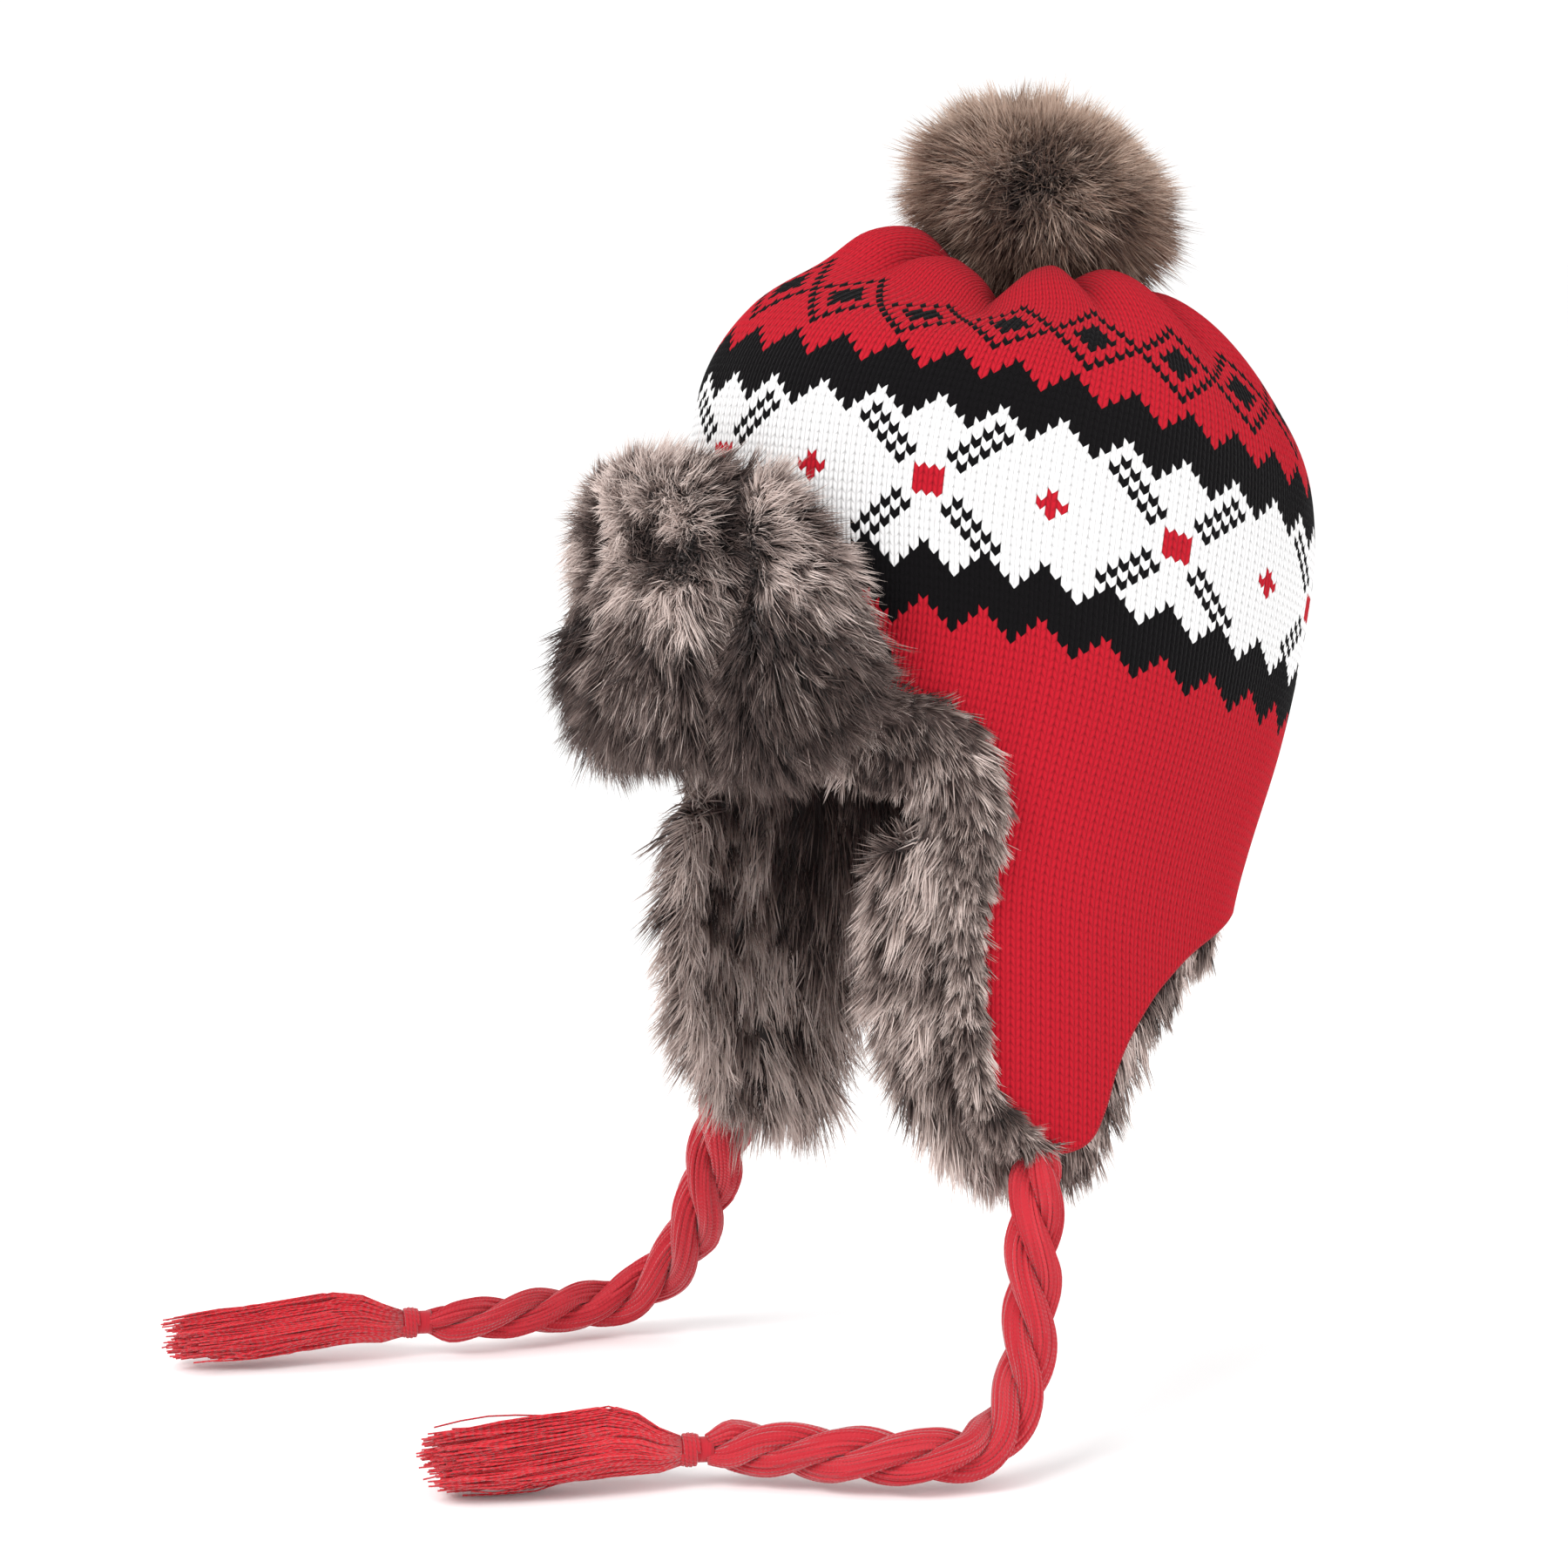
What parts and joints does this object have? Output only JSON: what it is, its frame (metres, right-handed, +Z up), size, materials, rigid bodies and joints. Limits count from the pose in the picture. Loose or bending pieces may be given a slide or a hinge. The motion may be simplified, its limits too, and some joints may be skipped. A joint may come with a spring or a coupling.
{
  "type": "pom-pom earflap hat",
  "caption": "Knitted winter hat with a turned-up fur brow flap, fur-lined earflaps, a fur pompom and braided ties ending in tassels.",
  "frame": {"origin": "middle of the head opening at the brow, where the hat sits on the wearer's head", "axes": "+Z up, the wearer faces -Y, and the wearer's left is +X"},
  "size_m": [0.2954, 0.3462, 0.4443],
  "materials": {
    "knit": "stocking-stitch acrylic yarn, red with a black and white patterned band",
    "fur": "long-pile imitation fur, dark roots and pale tips",
    "pompom_fur": "long-pile imitation fur, dark roots and pale tips",
    "yarn": "soft red acrylic yarn"
  },
  "bodies": {
    "root": {"knit_shell": "knit", "fur_lining": "fur", "brim_flap": "fur", "pompom": "pompom_fur", "braid_left": "yarn", "wrap_left": "yarn", "tassel_left": "yarn", "braid_right": "yarn", "wrap_right": "yarn", "tassel_right": "yarn"}
  },
  "joints": []
}
